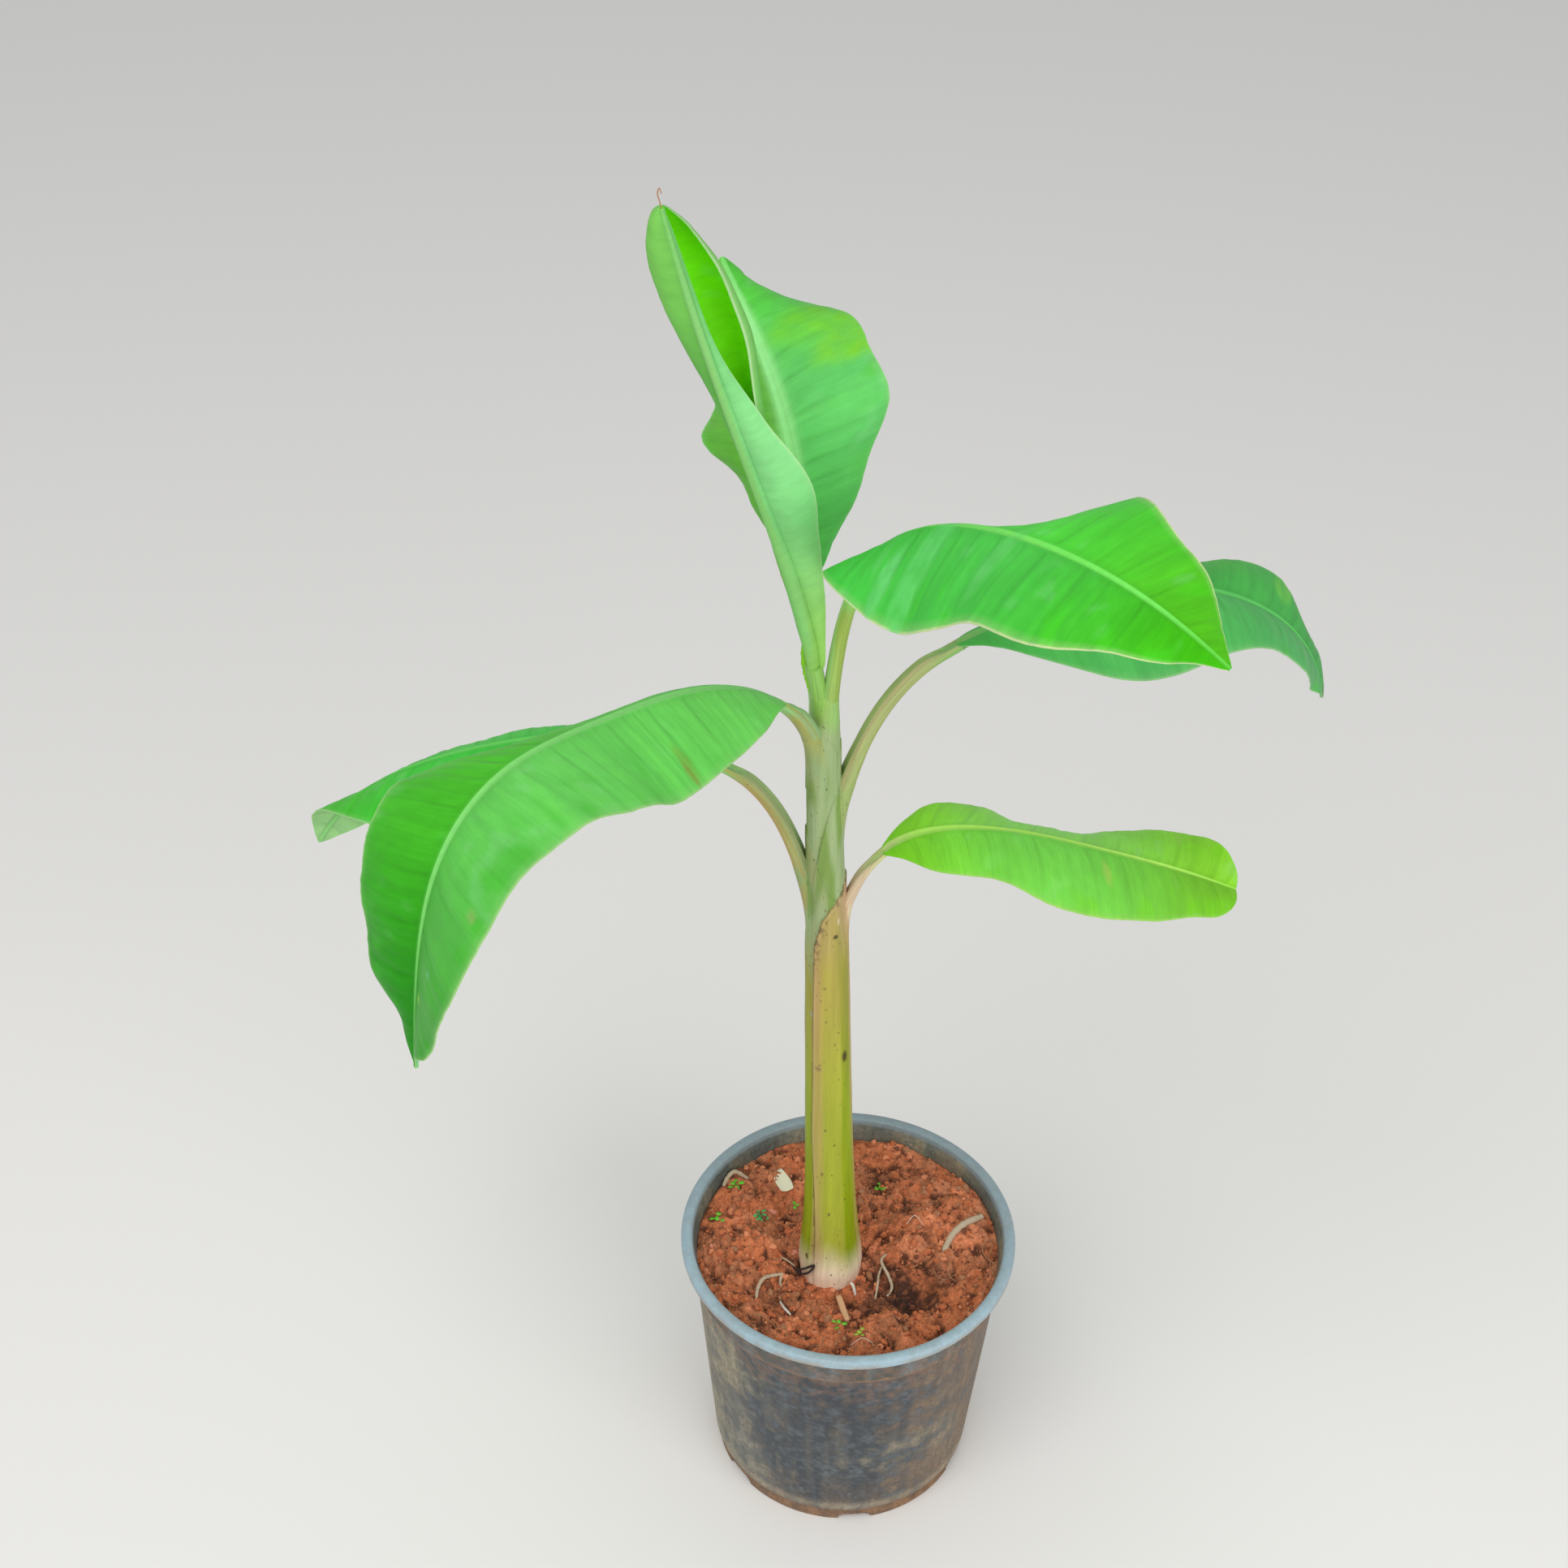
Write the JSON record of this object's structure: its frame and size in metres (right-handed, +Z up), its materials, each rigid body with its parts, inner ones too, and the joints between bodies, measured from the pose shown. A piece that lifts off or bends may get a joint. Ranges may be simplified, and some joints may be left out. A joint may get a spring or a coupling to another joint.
{
  "type": "potted banana plant",
  "caption": "Young banana plant with a leaning pseudostem, broad paddle leaves on arched stalks and a rolled new leaf on top, standing in a round nursery pot of red soil.",
  "frame": {"origin": "centre of the pot's flat underside, on the surface that it stands on", "axes": "+Z up, through the pot's centre; -Y towards the viewer who sees the largest leaf bend down in front on the left; +X to that viewer's right"},
  "size_m": [0.6638, 0.4471, 1.0865],
  "materials": {
    "pot_plastic": "dusty weathered black plastic",
    "red_soil": "crumbly red laterite soil",
    "stem_sheath": "smooth fleshy leaf sheaths",
    "leaf_stalk": "smooth waxy leaf stalk",
    "leaf_blade": "satin green leaf with fine lateral veins"
  },
  "bodies": {
    "root": {"pot": "pot_plastic", "soil": "red_soil", "pseudostem": "stem_sheath", "leaf_1_stalk": "leaf_stalk", "leaf_1_blade": "leaf_blade", "leaf_2_stalk": "leaf_stalk", "leaf_2_blade_inner": "leaf_blade", "leaf_2_blade_outer": "leaf_blade", "leaf_3_stalk": "leaf_stalk", "leaf_3_blade_inner": "leaf_blade", "leaf_3_blade_outer": "leaf_blade", "leaf_4_stalk": "leaf_stalk", "leaf_4_blade_inner": "leaf_blade", "leaf_4_blade_outer": "leaf_blade", "leaf_5_stalk": "leaf_stalk", "leaf_5_blade": "leaf_blade", "leaf_6_stalk": "leaf_stalk", "leaf_6_blade": "leaf_blade", "leaf_7_stalk": "leaf_stalk", "leaf_7_blade_lower": "leaf_blade", "leaf_7_blade_upper": "leaf_blade"}
  },
  "joints": []
}
